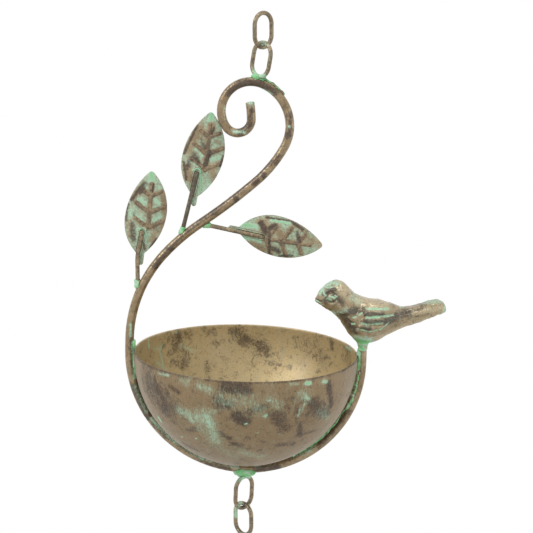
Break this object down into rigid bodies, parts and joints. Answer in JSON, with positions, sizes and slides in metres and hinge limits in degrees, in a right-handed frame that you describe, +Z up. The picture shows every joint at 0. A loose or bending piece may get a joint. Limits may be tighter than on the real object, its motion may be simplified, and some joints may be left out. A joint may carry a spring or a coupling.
{
  "type": "rain chain section",
  "caption": "Section of a rain chain: a scroll of bent bar round a half-round bowl, with a cast bird, pressed leaves on stems and chain links above and below.",
  "frame": {"origin": "inside the top of the upper loose link, where the link above holds it", "axes": "+Z up as it hangs, +X towards the bird's tail, +Y away from the leaves' embossed face"},
  "size_m": [0.1704, 0.1194, 0.2852],
  "materials": {
    "bar_paint": "bronze paint with dark mottling, satin",
    "link_paint": "bronze paint, satin",
    "bowl_paint": "bronze paint with verdigris patches, satin",
    "bird_paint": "bronze paint over cast aluminium, verdigris in the grooves",
    "leaf_paint": "verdigris rubbed through to bronze on the veins",
    "stem_paint": "bronze paint, satin",
    "weld_verdigris": "bright verdigris paint, matt"
  },
  "bodies": {
    "upper_link": {"top_loose_link": "link_paint"},
    "section": {"scroll_rod": "bar_paint", "top_welded_link": "link_paint", "bottom_welded_link": "link_paint", "bowl": "bowl_paint", "bird": "bird_paint", "left_leaf": "leaf_paint", "middle_leaf": "leaf_paint", "right_leaf": "leaf_paint", "left_leaf_stem": "stem_paint", "middle_leaf_stem": "stem_paint", "right_leaf_stem": "stem_paint", "left_rim_weld": "weld_verdigris", "right_rim_weld": "weld_verdigris", "top_weld": "weld_verdigris", "bottom_weld": "weld_verdigris", "left_stem_weld": "weld_verdigris", "middle_stem_weld": "weld_verdigris", "right_stem_weld": "weld_verdigris"},
    "lower_link": {"bottom_loose_link": "link_paint"}
  },
  "joints": [
    {"name": "section_swing", "type": "hinge", "parent": "upper_link", "child": "section", "pos_m": [0, 0, -0.0141], "axis": [0.7117, -0.7025, 0], "range_deg": [-80, 80]},
    {"name": "lower_link_swing", "type": "hinge", "parent": "section", "child": "lower_link", "pos_m": [-0.01088, -0.00035, -0.26651], "axis": [0.7075, 0.7067, 0], "range_deg": [-80, 80]}
  ]
}
